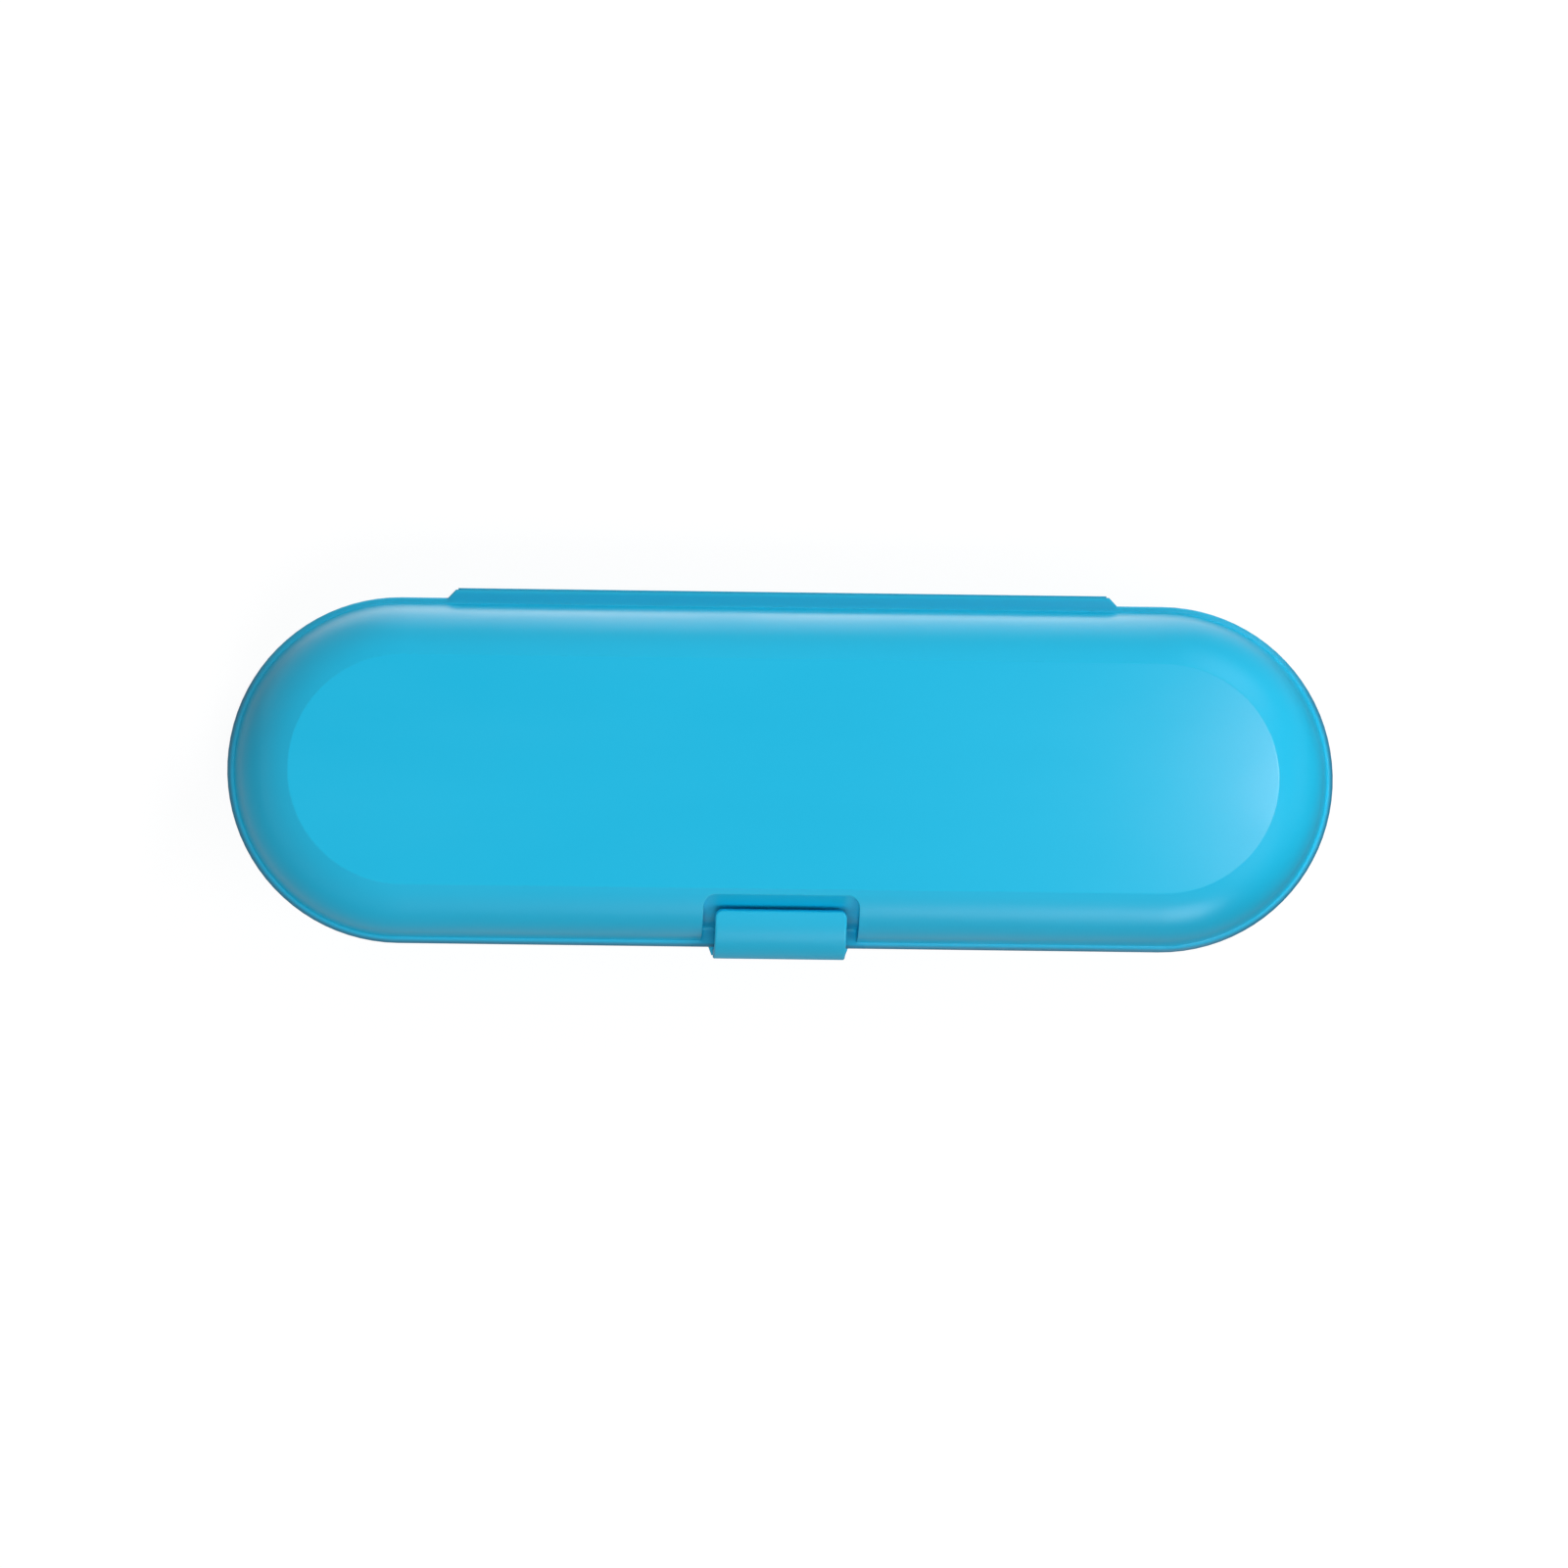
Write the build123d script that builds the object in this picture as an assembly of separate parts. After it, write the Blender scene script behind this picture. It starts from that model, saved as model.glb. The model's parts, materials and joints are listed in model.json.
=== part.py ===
"""Pill-shaped travel case for a toothbrush handle and its spare heads.

The case lies flat, lid up. X runs along its length, Y from the latch at the front to the hinge at the
back, and Z up. The origin is the middle of the face that it rests on. Sizes are millimetres and degrees.
"""

import math
import os

from build123d import *

# Outline and shells
case_length = 215.0
case_width = 67.2
base_height = 22.0
lid_height = 18.0
wall = 1.8
draft = 10.0
shoulder_break = 20.0
plateau_margin = 11.3

# Rim where the two shells meet
rim_lip = 1.2
rim_thickness = 1.5
rim_rounding = 0.8
crease_rounding = 0.3
tongue_thickness = 0.8
tongue_height = 1.2
tongue_gap = 0.25

# Living hinges: a thin film bent round the hinge line, fixed to the ends of two straps
film_thickness = 0.35
film_bore = 0.15
film_leg = 0.15
film_end_margin = 0.5

# Straps of the lid hinge, at the back
hinge_length = 130.0
hinge_end_taper = 1.5
hinge_reach = 2.25

# Strap and flap of the latch, at the front
latch_strap_width = 27.1
latch_strap_taper = 0.6
latch_reach = 2.25
flap_width = 25.5
flap_thickness = 1.7
flap_curve_radius = 11.7
flap_cover = 7.0
flap_height = 15.6
flap_foot_gap = 0.12
flap_foot_height = 0.65
flap_corner_radius = 1.4
flap_edge_rounding = 0.35

# Snap of the latch: a hook rib under the flap and a catch rib in the recess
hook_length = 18.0
hook_radius = 0.8
hook_height = 9.1
hook_stand_in = 2.8
hook_neck = 0.9
hook_gap = 0.15
catch_length = 20.0
catch_radius = 0.75
catch_height = 8.15
catch_stand_in = 1.4
catch_slope = 3.2

# Recess of the lid, in which the flap lies
recess_width = 30.3
recess_cover = 10.2
recess_depth = 2.5
recess_back_run = 3.1
recess_corner_radius = 2.5

# What the case holds
handle_diameter = 30.0
handle_neck_diameter = 24.0
handle_gap = 0.4
handle_axis_height = 19.5
head_socket_diameter = 4.0
head_stem_diameter = 8.0
head_axis_height = 15.0
head_inset = 11.0

# Cradles under the handle
saddle_tail_x = -68.0
saddle_middle_x = -2.0
saddle_neck_x = 64.0
saddle_thickness = 2.2
saddle_arm = 1.5
saddle_top = 16.0
saddle_corner_radius = 1.0
foot_length = 9.0
foot_thickness = 1.6
foot_pin_diameter = 2.4
foot_pin_gap = 0.05
foot_pin_setback = 2.7
foot_pin_inset = 4.5

# Ribs in the lid over the handle
hold_down_drop = 11.0
hold_down_arm = 4.4

# Pegs and rests for the spare heads
peg_block_x = -40.0
peg_block_thickness = 3.0
peg_block_top = 19.0
peg_length = 9.0
peg_gap = 0.2
clip_block_x = 12.0
clip_block_thickness = 3.0
clip_block_top = 16.5
clip_gap = 0.15
head_block_width = 12.0
head_block_heel = 3.6
fit_gap = 0.3

# Worked out from the sizes above
end_radius = case_width / 2
end_x = (case_length - case_width) / 2
parting_height = base_height
case_height = base_height + lid_height
film_radius = film_bore + film_thickness
head_axis_offset = end_radius - head_inset
floor_foot = wall + foot_thickness / 2
ceiling_foot = case_height - wall - foot_thickness / 2
hold_down_half_width = handle_diameter / 2 + handle_gap + hold_down_arm
hinge_axis_y = end_radius + hinge_reach - film_radius
latch_axis_y = -(end_radius + latch_reach - film_radius)


def shoulder(height):
    """Centre (inset, height) and radius of the shoulder arc of a shell, heights from the parting plane."""
    top_angle = math.radians(shoulder_break)
    low_angle = math.radians(90 - draft)
    lean = math.tan(math.radians(draft))
    arc_run = math.sin(low_angle) - math.sin(top_angle)
    arc_rise = math.cos(top_angle) - math.cos(low_angle)
    run = plateau_margin - rim_lip - lean * (height - rim_thickness)
    radius = run / (arc_run - lean * arc_rise)
    return plateau_margin + radius * math.sin(top_angle), height - radius * math.cos(top_angle), radius


def shoulder_point(height, depth, angle):
    """A point (inset, height) on the shoulder arc, moved in by depth, at an angle from straight up."""
    centre_inset, centre_height, radius = shoulder(height)
    turn = math.radians(angle)
    reach = radius - depth
    return centre_inset - reach * math.sin(turn), centre_height + reach * math.cos(turn)


def shoulder_height(height, depth, inset):
    """Height of the shoulder arc, moved in by depth, at an inset from the rim."""
    centre_inset, centre_height, radius = shoulder(height)
    return centre_height + math.sqrt((radius - depth) ** 2 - (centre_inset - inset) ** 2)


def wall_inset(height, depth, level):
    """Inset of the drafted wall, moved in by depth, at a level above the parting plane."""
    inset, foot = shoulder_point(height, depth, 90 - draft)
    return inset - (foot - level) * math.tan(math.radians(draft))


def shell_face(height, depth, rim):
    """Half section of everything inside a shell's surface moved in by depth, with or without its rim."""
    top = height - depth
    centre_inset, centre_height, radius = shoulder(height)
    reach = radius - depth
    break_angle = math.degrees(math.acos((top - centre_height) / reach))
    start = shoulder_point(height, depth, 90 - draft)
    middle = shoulder_point(height, depth, (90 - draft + break_angle) / 2)
    end = shoulder_point(height, depth, break_angle)
    foot = wall_inset(height, depth, rim_thickness if rim else 0)
    points = [start, middle, end]
    start, middle, end = [(end_radius - inset, level) for inset, level in points]
    edges = [ThreePointArc(start, middle, end), Line(end, (0, top)), Line((0, top), (0, 0))]
    if rim:
        edges += [
            Line((0, 0), (end_radius, 0)),
            Line((end_radius, 0), (end_radius, rim_thickness)),
            Line((end_radius, rim_thickness), (end_radius - foot, rim_thickness)),
            Line((end_radius - foot, rim_thickness), start),
        ]
    else:
        edges += [Line((0, 0), (end_radius - foot, 0)), Line((end_radius - foot, 0), start)]
    return make_face(edges)


def rounded_rim(face):
    """Round the rim's outer edge and fill the crease where the wall rises from the rim."""
    outer = face.vertices().filter_by_position(Axis.X, end_radius, end_radius)
    outer = outer.filter_by_position(Axis.Y, rim_thickness, rim_thickness)
    face = fillet(outer, rim_rounding)
    crease_x = end_radius - rim_lip
    crease = face.vertices().filter_by_position(Axis.X, crease_x - 0.01, crease_x + 0.01)
    return fillet(crease, crease_rounding)


def ring_box(low, high, bottom, top):
    """Half section of a rectangular ring between two distances from the spine."""
    return Pos((low + high) / 2, (bottom + top) / 2) * Rectangle(high - low, top - bottom)


def base_section():
    """Half section of the base, drawn upside down, with its tongue standing past the parting plane."""
    section = rounded_rim(shell_face(base_height, 0, True)) - shell_face(base_height, wall, False)
    inner = end_radius - wall_inset(base_height, wall, 0)
    return section + ring_box(inner, inner + tongue_thickness, -tongue_height, rim_thickness / 2)


def lid_section():
    """Half section of the lid, with the rebate that takes the tongue of the base."""
    section = rounded_rim(shell_face(lid_height, 0, True)) - shell_face(lid_height, wall, False)
    inner = end_radius - wall_inset(base_height, wall, 0)
    rebate = tongue_thickness + tongue_gap
    return section - ring_box(inner - wall, inner + rebate, 0, tongue_height + tongue_gap)


def pill(section, up):
    """Carry a half section round the pill outline, upwards or downwards from the parting plane."""
    face = Plane.XZ * section
    if not up:
        face = mirror(face, Plane.XY)
    half_turn = revolve(face, Axis.Z, 180)
    body = Pos(end_x, 0, 0) * Rot(0, 0, -90) * half_turn
    body += Pos(-end_x, 0, 0) * Rot(0, 0, 90) * half_turn
    for turn in (-90, 90):
        body += extrude(Rot(0, 0, turn) * face, end_x, dir=(1, 0, 0), both=True)
    return Pos(0, 0, parting_height) * body


def across(section, width):
    """Extrude a section, drawn as (inset from the front rim, height over the parting plane), along X."""
    face = Pos(0, -end_radius, parting_height) * (Plane.YZ * section)
    return extrude(face, width / 2, dir=(1, 0, 0), both=True)


def strap(length, taper, reach, bottom, front):
    """A flat strap that stands out of the rim, with ends that taper towards its outer edge."""
    root = end_radius - rim_lip
    edge = end_radius + reach - film_radius - film_leg
    outline = Polyline(
        (-length / 2, root), (length / 2, root), (length / 2, end_radius),
        (length / 2 - taper, edge), (-length / 2 + taper, edge), (-length / 2, end_radius), close=True,
    )
    plate = extrude(Pos(0, 0, bottom) * make_face(outline), rim_thickness, dir=(0, 0, 1))
    return Rot(0, 0, 180) * plate if front else plate


def film(length, axis_y, outward):
    """A living hinge: a half ring about the hinge line, with short legs to the ends of its two straps."""
    half = Circle(film_radius) - Circle(film_bore)
    half &= Pos(film_radius, 0) * Rectangle(2 * film_radius, 2 * film_radius)
    middle = (film_radius + film_bore) / 2
    for side in (-1, 1):
        half += Pos(-film_leg / 2, side * middle) * Rectangle(film_leg, film_thickness)
    if outward < 0:
        half = mirror(half, Plane.YZ)
    face = Pos(0, axis_y, parting_height) * (Plane.YZ * half)
    return extrude(face, length / 2, dir=(1, 0, 0), both=True)


def flap_centre():
    """Centre (inset, height) of the flap's curve."""
    inset = flap_curve_radius - latch_reach
    return inset, flap_height - math.sqrt(flap_curve_radius ** 2 - (inset - flap_cover) ** 2)


def flap_point(radius, angle):
    """A point (inset, height) on a circle about the flap's curve, at an angle from straight up."""
    inset, height = flap_centre()
    turn = math.radians(angle)
    return inset - radius * math.sin(turn), height + radius * math.cos(turn)


def flap_section():
    """Section of the latch flap: a foot on the film, a straight wall and a curve over the shoulder."""
    inner_radius = flap_curve_radius - flap_thickness
    inset, height = flap_centre()
    tip_angle = math.degrees(math.asin((inset - flap_cover) / flap_curve_radius))
    middle_angle = (90 + tip_angle) / 2
    foot_inset = film_radius + film_leg - latch_reach
    outer_low = (-latch_reach, flap_foot_height + latch_reach + foot_inset)
    inner_low = (flap_thickness - latch_reach, flap_foot_gap)
    outer_arc = [flap_point(flap_curve_radius, angle) for angle in (90, middle_angle, tip_angle)]
    inner_arc = [flap_point(inner_radius, angle) for angle in (tip_angle, middle_angle, 90)]
    return make_face([
        Line(inner_low, (foot_inset, flap_foot_gap)),
        Line((foot_inset, flap_foot_gap), (foot_inset, flap_foot_height)),
        Line((foot_inset, flap_foot_height), outer_low),
        Line(outer_low, outer_arc[0]),
        ThreePointArc(*outer_arc),
        Line(outer_arc[2], inner_arc[0]),
        ThreePointArc(*inner_arc),
        Line(inner_arc[2], inner_low),
    ])


def hook_section():
    """Section of the hook rib: a round tip on a neck that stands in from the flap's inner face."""
    neck_middle = hook_height + hook_radius - hook_neck / 2
    inset, height = flap_centre()
    root = inset - math.sqrt((flap_curve_radius - flap_thickness / 2) ** 2 - (neck_middle - height) ** 2)
    neck = Pos((root + hook_stand_in) / 2, neck_middle) * Rectangle(hook_stand_in - root, hook_neck)
    return neck + Pos(hook_stand_in, hook_height) * Circle(hook_radius)


def catch_section():
    """Section of the catch rib: a round lip on a sloped bracket that grows out of the recess wall."""
    root = wall_inset(lid_height, recess_depth, catch_height) + wall / 2
    top = hook_height - hook_radius - hook_gap
    bracket = Polyline(
        (root, top), (catch_stand_in, top), (catch_stand_in, catch_height - catch_radius),
        (root, catch_height - catch_radius - catch_slope), close=True,
    )
    return make_face(bracket) + Pos(catch_stand_in, catch_height) * Circle(catch_radius)


def recess_section():
    """Section of the space that is cut out of the lid for the flap."""
    low = shoulder_point(lid_height, recess_depth, 90 - draft)
    foot_inset = recess_cover - recess_back_run
    foot = (foot_inset, shoulder_height(lid_height, recess_depth, foot_inset))
    brow = (recess_cover, shoulder_height(lid_height, 0, recess_cover))
    middle_inset = (low[0] + foot_inset) / 2
    middle = (middle_inset, shoulder_height(lid_height, recess_depth, middle_inset))
    floor_start = (wall_inset(lid_height, recess_depth, rim_thickness), rim_thickness)
    sky = 2 * lid_height
    outside = -end_radius
    return make_face([
        Line((outside, rim_thickness), floor_start),
        Line(floor_start, low),
        ThreePointArc(low, middle, foot),
        Line(foot, brow),
        Line(brow, (recess_cover, sky)),
        Line((recess_cover, sky), (outside, sky)),
        Line((outside, sky), (outside, rim_thickness)),
    ])


def recess_plan():
    """Upright prism with the recess's outline in plan, its two inner corners rounded."""
    depth = end_radius + recess_cover
    outline = RectangleRounded(recess_width, depth, recess_corner_radius)
    return extrude(Pos(0, recess_cover - end_radius - depth / 2, 0) * outline, 2 * case_height, dir=(0, 0, 1))


def foot_pins(x, half_width, level, gap=0):
    """The two pins that hold a foot, one each side of its plate, or the holes for them with a gap."""
    reach = half_width - foot_pin_inset
    pin = Pos(0, 0, level) * Cylinder(foot_pin_diameter / 2 + gap, foot_thickness)
    return (Pos(x - foot_pin_setback, -reach, 0) * pin) + (Pos(x + foot_pin_setback, reach, 0) * pin)


def cradle(x, diameter, half_width, low, high):
    """An upright plate across the case from one height to another, cut out for the handle."""
    outline = Pos(0, (low + high) / 2) * Rectangle(2 * half_width, high - low)
    free_side = -1 if high < handle_axis_height else 0
    outline = fillet(outline.vertices().group_by(Axis.Y)[free_side], saddle_corner_radius)
    outline -= Pos(0, handle_axis_height) * Circle(diameter / 2 + handle_gap)
    return extrude(Pos(x, 0, 0) * (Plane.YZ * outline), saddle_thickness / 2, dir=(1, 0, 0), both=True)


def foot(x, half_width, level):
    """The flat foot of a cradle, centred on a height, with holes for its two pins."""
    outline = RectangleRounded(foot_length, 2 * half_width, saddle_corner_radius)
    plate = extrude(Pos(x, 0, level) * outline, foot_thickness / 2, both=True)
    return plate - foot_pins(x, half_width, level, foot_pin_gap)


def around_pins(plate, x, half_width, level):
    """Keep a cradle's plate clear of the pins that stand beside it."""
    return plate - foot_pins(x, half_width, level, foot_pin_gap)


def saddle_half_width(diameter):
    return diameter / 2 + handle_gap + saddle_arm


def saddle(x, diameter):
    """A cradle that stands on the floor of the base and takes the handle from below."""
    half_width = saddle_half_width(diameter)
    plate = cradle(x, diameter, half_width, wall, saddle_top)
    return around_pins(plate, x, half_width, floor_foot) + foot(x, half_width, floor_foot)


def hold_down(x, diameter):
    """An arched rib that hangs from the ceiling of the lid over the handle."""
    ceiling = case_height - wall
    plate = cradle(x, diameter, hold_down_half_width, ceiling - hold_down_drop, ceiling)
    plate = around_pins(plate, x, hold_down_half_width, ceiling_foot)
    return plate + foot(x, hold_down_half_width, ceiling_foot)


def head_block(x, thickness, top, side):
    """An upright block beside the handle, with a low heel that widens its stand."""
    y = side * head_axis_offset
    height = top - wall
    block = Pos(x, y, wall + height / 2) * Box(thickness, head_block_width, height)
    inner_edge = head_axis_offset - head_block_width / 2
    heel_width = head_floor_edge() - inner_edge
    heel_x = x - (thickness + head_block_heel) / 2
    heel_y = side * (inner_edge + heel_width / 2)
    return block + Pos(heel_x, heel_y, floor_foot) * Box(head_block_heel, heel_width, foot_thickness)


def head_floor_edge():
    """How far the flat floor of the base reaches from the middle line."""
    centre_inset, centre_height, radius = shoulder(base_height)
    reach = radius - wall
    inset = centre_inset - math.sqrt(reach ** 2 - (base_height - wall - centre_height) ** 2)
    return end_radius - inset - fit_gap


def trimmed(body):
    """Cut a piece of the base back from the curved wall, leaving its flat underside on the floor."""
    clear = pill(shell_face(base_height, wall + fit_gap, False), False)
    low = Pos(0, 0, wall + fit_gap) * Box(case_length, 2 * head_floor_edge(), 2 * fit_gap)
    return body & (clear + low)


def head_peg(side):
    """A block with a level peg that goes into the socket of a spare head."""
    body = trimmed(head_block(peg_block_x, peg_block_thickness, peg_block_top, side))
    radius = head_socket_diameter / 2 - peg_gap
    start = Plane(origin=(peg_block_x, side * head_axis_offset, head_axis_height), z_dir=(1, 0, 0))
    peg = extrude(start * Circle(radius), peg_block_thickness / 2 + peg_length)
    tip = peg.faces().sort_by(Axis.X)[-1].edges()
    return body + chamfer(tip, radius / 4)


def head_clip(side):
    """A block with an open notch that holds the stem of a spare head."""
    body = trimmed(head_block(clip_block_x, clip_block_thickness, clip_block_top, side))
    centre = Pos(clip_block_x, side * head_axis_offset, head_axis_height) * Rot(0, 90, 0)
    return body - centre * Cylinder(head_stem_diameter / 2 + clip_gap, 2 * clip_block_thickness)


def tongue_break():
    """The stretch of the tongue that is left out behind the latch recess."""
    width = recess_width + 2 * wall + 2 * tongue_gap
    depth = rim_lip + 2 * wall
    return Pos(0, depth / 2 - end_radius, parting_height + tongue_height) * Box(width, depth, 2 * tongue_height)


def base_shell():
    body = pill(base_section(), False)
    body += strap(hinge_length, hinge_end_taper, hinge_reach, parting_height - rim_thickness, False)
    body += strap(latch_strap_width, latch_strap_taper, latch_reach, parting_height - rim_thickness, True)
    body -= tongue_break()
    for x, diameter in saddle_places():
        body += foot_pins(x, saddle_half_width(diameter), floor_foot)
    return body


def lid_shell():
    body = pill(lid_section(), True)
    body += strap(hinge_length, hinge_end_taper, hinge_reach, parting_height, False)
    outside = pill(shell_face(lid_height, 0, True), True)
    boss = across(offset(recess_section(), wall), recess_width + 2 * wall)
    body += boss & outside
    body -= across(recess_section(), recess_width + wall) & recess_plan()
    body += across(catch_section(), catch_length)
    for x in (saddle_tail_x, saddle_neck_x):
        body += foot_pins(x, hold_down_half_width, ceiling_foot)
    return body


def latch_flap():
    body = across(flap_section(), flap_width)
    tip = body.edges().filter_by(Axis.X, reverse=True).filter_by(GeomType.LINE).sort_by(Axis.Z)[-2:]
    body = fillet(tip, flap_corner_radius)
    outer_curve = body.faces().filter_by(GeomType.CYLINDER).sort_by(SortBy.AREA)[-1]
    body = fillet(outer_curve.edges().sort_by(Axis.Z)[1:], flap_edge_rounding)
    return body + across(hook_section(), hook_length)


def saddle_places():
    """Where each cradle stands, with the diameter of the handle there."""
    return [
        (saddle_tail_x, handle_diameter),
        (saddle_middle_x, handle_diameter),
        (saddle_neck_x, handle_neck_diameter),
    ]


def nodes():
    """Every piece of the case, by name."""
    hinge_film_length = hinge_length - 2 * hinge_end_taper - 2 * film_end_margin
    latch_film_length = flap_width - 2 * film_end_margin
    return {
        "base_shell": base_shell(),
        "lid_shell": lid_shell(),
        "lid_hinge_film": film(hinge_film_length, hinge_axis_y, 1),
        "latch_flap": latch_flap(),
        "latch_hinge_film": film(latch_film_length, latch_axis_y, -1),
        "handle_saddle_tail": saddle(saddle_tail_x, handle_diameter),
        "handle_saddle_middle": saddle(saddle_middle_x, handle_diameter),
        "handle_saddle_neck": saddle(saddle_neck_x, handle_neck_diameter),
        "head_peg_front": head_peg(-1),
        "head_peg_back": head_peg(1),
        "head_clip_front": head_clip(-1),
        "head_clip_back": head_clip(1),
        "hold_down_tail": hold_down(saddle_tail_x, handle_diameter),
        "hold_down_neck": hold_down(saddle_neck_x, handle_neck_diameter),
    }


os.makedirs("parts", exist_ok=True)
for name, piece in nodes().items():
    export_step(piece, os.path.join("parts", name + ".step"))
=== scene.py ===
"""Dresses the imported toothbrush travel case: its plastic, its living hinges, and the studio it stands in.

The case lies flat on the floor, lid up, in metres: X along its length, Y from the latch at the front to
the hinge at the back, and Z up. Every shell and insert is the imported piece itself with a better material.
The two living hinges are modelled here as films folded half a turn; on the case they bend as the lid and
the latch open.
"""

import json
import math

import bpy
from mathutils import Matrix, Vector


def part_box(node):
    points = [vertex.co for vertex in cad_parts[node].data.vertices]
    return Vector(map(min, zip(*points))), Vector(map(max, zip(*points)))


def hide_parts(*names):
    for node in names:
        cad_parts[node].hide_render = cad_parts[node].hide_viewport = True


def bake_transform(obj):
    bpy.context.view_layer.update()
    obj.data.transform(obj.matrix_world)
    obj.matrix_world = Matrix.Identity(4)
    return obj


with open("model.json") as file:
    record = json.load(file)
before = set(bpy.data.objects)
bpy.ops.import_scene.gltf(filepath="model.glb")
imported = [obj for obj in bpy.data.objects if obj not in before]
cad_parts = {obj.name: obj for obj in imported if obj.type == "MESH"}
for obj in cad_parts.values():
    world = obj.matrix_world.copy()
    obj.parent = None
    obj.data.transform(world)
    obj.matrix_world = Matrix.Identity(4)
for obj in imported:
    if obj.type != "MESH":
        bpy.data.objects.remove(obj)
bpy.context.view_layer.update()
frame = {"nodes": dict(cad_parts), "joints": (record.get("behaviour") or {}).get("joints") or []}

bl_info = {
    "name": "Toothbrush Travel Case",
    "version": (1, 0, 0),
    "blender": (4, 5, 0),
    "location": "3D View > Sidebar > Travel Case",
    "description": "Finishes the plastic, living hinges and studio of a hinged travel case",
    "category": "Object",
}

SHELLS = ("base_shell", "lid_shell")
INSERTS = (
    "handle_saddle_tail", "handle_saddle_middle", "handle_saddle_neck",
    "head_peg_front", "head_peg_back", "head_clip_front", "head_clip_back",
    "hold_down_tail", "hold_down_neck",
)

# The side of the case on which a hinge lies, as a sign along Y
BACK = 1
FRONT = -1

# Living hinges: name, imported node, joint, body that opens, side
HINGES = (
    ("lid_living_hinge", "lid_hinge_film", "lid_hinge", "lid", BACK),
    ("latch_living_hinge", "latch_hinge_film", "latch_hinge", "latch", FRONT),
)

# Places and sizes in metres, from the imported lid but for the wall
LID_LOW, LID_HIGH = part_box("lid_shell")
LID_MIDDLE = (0.0, 0.0, LID_HIGH.z)
RIM_HEIGHT = LID_LOW.z
RIM_RADIUS = -LID_LOW.y
RIM_MIDDLE = LID_HIGH.x - RIM_RADIUS
WALL = 0.0018

# Points nearer than this, in metres, are the same point
SAME_PLACE = 1e-6
# Faces that turn less than this from one to the next are shaded smooth
SMOOTH_ANGLE = math.radians(40)
HALF_TURN = math.radians(180)

WHITE = (1.0, 1.0, 1.0, 1.0)
UNSTRETCHED = (1.0, 1.0, 1.0)

# Patterns of noise. A stretch below 1 draws the pattern out along X, Y or Z.
STREAKS = {"stretch": (0.25, 1.0, 1.0), "scale": 38.0, "detail": 4.0, "roughness": 0.55}
CLOUDS = {"stretch": (0.6, 1.0, 1.0), "scale": 11.0, "detail": 2.0, "roughness": 0.5}
RIPPLES = {"stretch": (0.5, 1.0, 1.0), "scale": 60.0, "detail": 2.0, "roughness": 0.5}
GRAIN = {"stretch": UNSTRETCHED, "scale": 1800.0, "detail": 2.0, "roughness": 0.6}
POLISH = {"stretch": (0.4, 1.0, 1.0), "scale": 90.0, "detail": 4.0, "roughness": 0.5}
DRAG_MARKS = {"stretch": (1.0, 1.0, 0.06), "scale": 420.0, "detail": 3.0, "roughness": 0.6}
CRAZING = {"stretch": (0.5, 6.0, 6.0), "scale": 900.0, "detail": 4.0, "roughness": 0.65}

# Sum of streaks and clouds over which the plain colour turns into the flow colour
FLOW_RANGE = (0.8, 1.25)
# How shut in a point is where the painted crease light begins and where it is full
CREASE_RANGE = (0.46, 0.76)
# Agreement of the face's normal and the softened one on a flat and on an edge
EDGE_TURN = (1.0, 0.8)
# Share of the pale fold colour that shows on an edge, as wear and as a painted highlight
EDGE_PALING = 0.1
# Depths of the ripples and the grain in metres
RIPPLE_DEPTH = 0.00012
GRAIN_DEPTH = 0.000008
# Noise over which the roughness changes, and how far below and above its setting it goes
POLISH_RANGE = (0.3, 0.7)
POLISH_CHANGE = (-0.035, 0.045)
POLYPROPYLENE_IOR = 1.49
POLYPROPYLENE_SHEEN = 0.45
# Samples of the nodes that soften edges and find creases
SHADING_SAMPLES = 8

# Share of the rim's reach over which its softness is full
RIM_FULL_SHARE = 2 / 3
# The rim's painted shade line fades in over this share of its width, to either side of its inner edge
LINE_FADE_SHARE = 0.4
# How far past the rim's outer edge the painted shade line begins to end, and over what distance it ends
LINE_END = 0.0001
# Places along Y from which and to which the painted shade line fades towards the back
LINE_BACK_FADE = (0.015, 0.033)

# Shares of an ejector pin's diameter: how far its ring fades, and how far up and down it reaches
RING_FADE_SHARE = 1 / 12
RING_HEIGHT_SHARE = 1 / 6
# Noise over which the drag marks roughen the inserts, and by how much
DRAG_RANGE = (0.3, 0.7)
DRAG_ROUGHENING = (0.02, 0.1)
# Noise over which the fine creases pale a folded film, and how much
CRAZING_RANGE = (0.35, 0.65)
CRAZING_PALING = (0.25, 0.7)
# Change of roughness where thumbs polish the latch
THUMB_ROUGHENING = -0.06

FLOOR_CORNERS = 96
# Distances in metres over which the reflected floor brightens to the back and dims to the ends
BACK_FADE = (0.03, 0.06)
END_FADE = (0.06, 0.115)
# Share of the back's reflected light that is left past the ends
END_SHARE = 0.25
# How far a direction points to the right where the dark screen begins and where it is full
SCREEN_FADE = (0.1, 0.5)
# Widths and heights of the lamps in metres
SQUARE_BOX = (0.6, 0.6)
LOW_BOX = (0.6, 0.2)
GLOW_BOX = (0.024, 0.024)
STREAK_BOX = (0.26, 0.22)
# Nearest and farthest that the camera sees, as shares of its distance
CLIP_SHARES = (0.01, 10.0)


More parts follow.
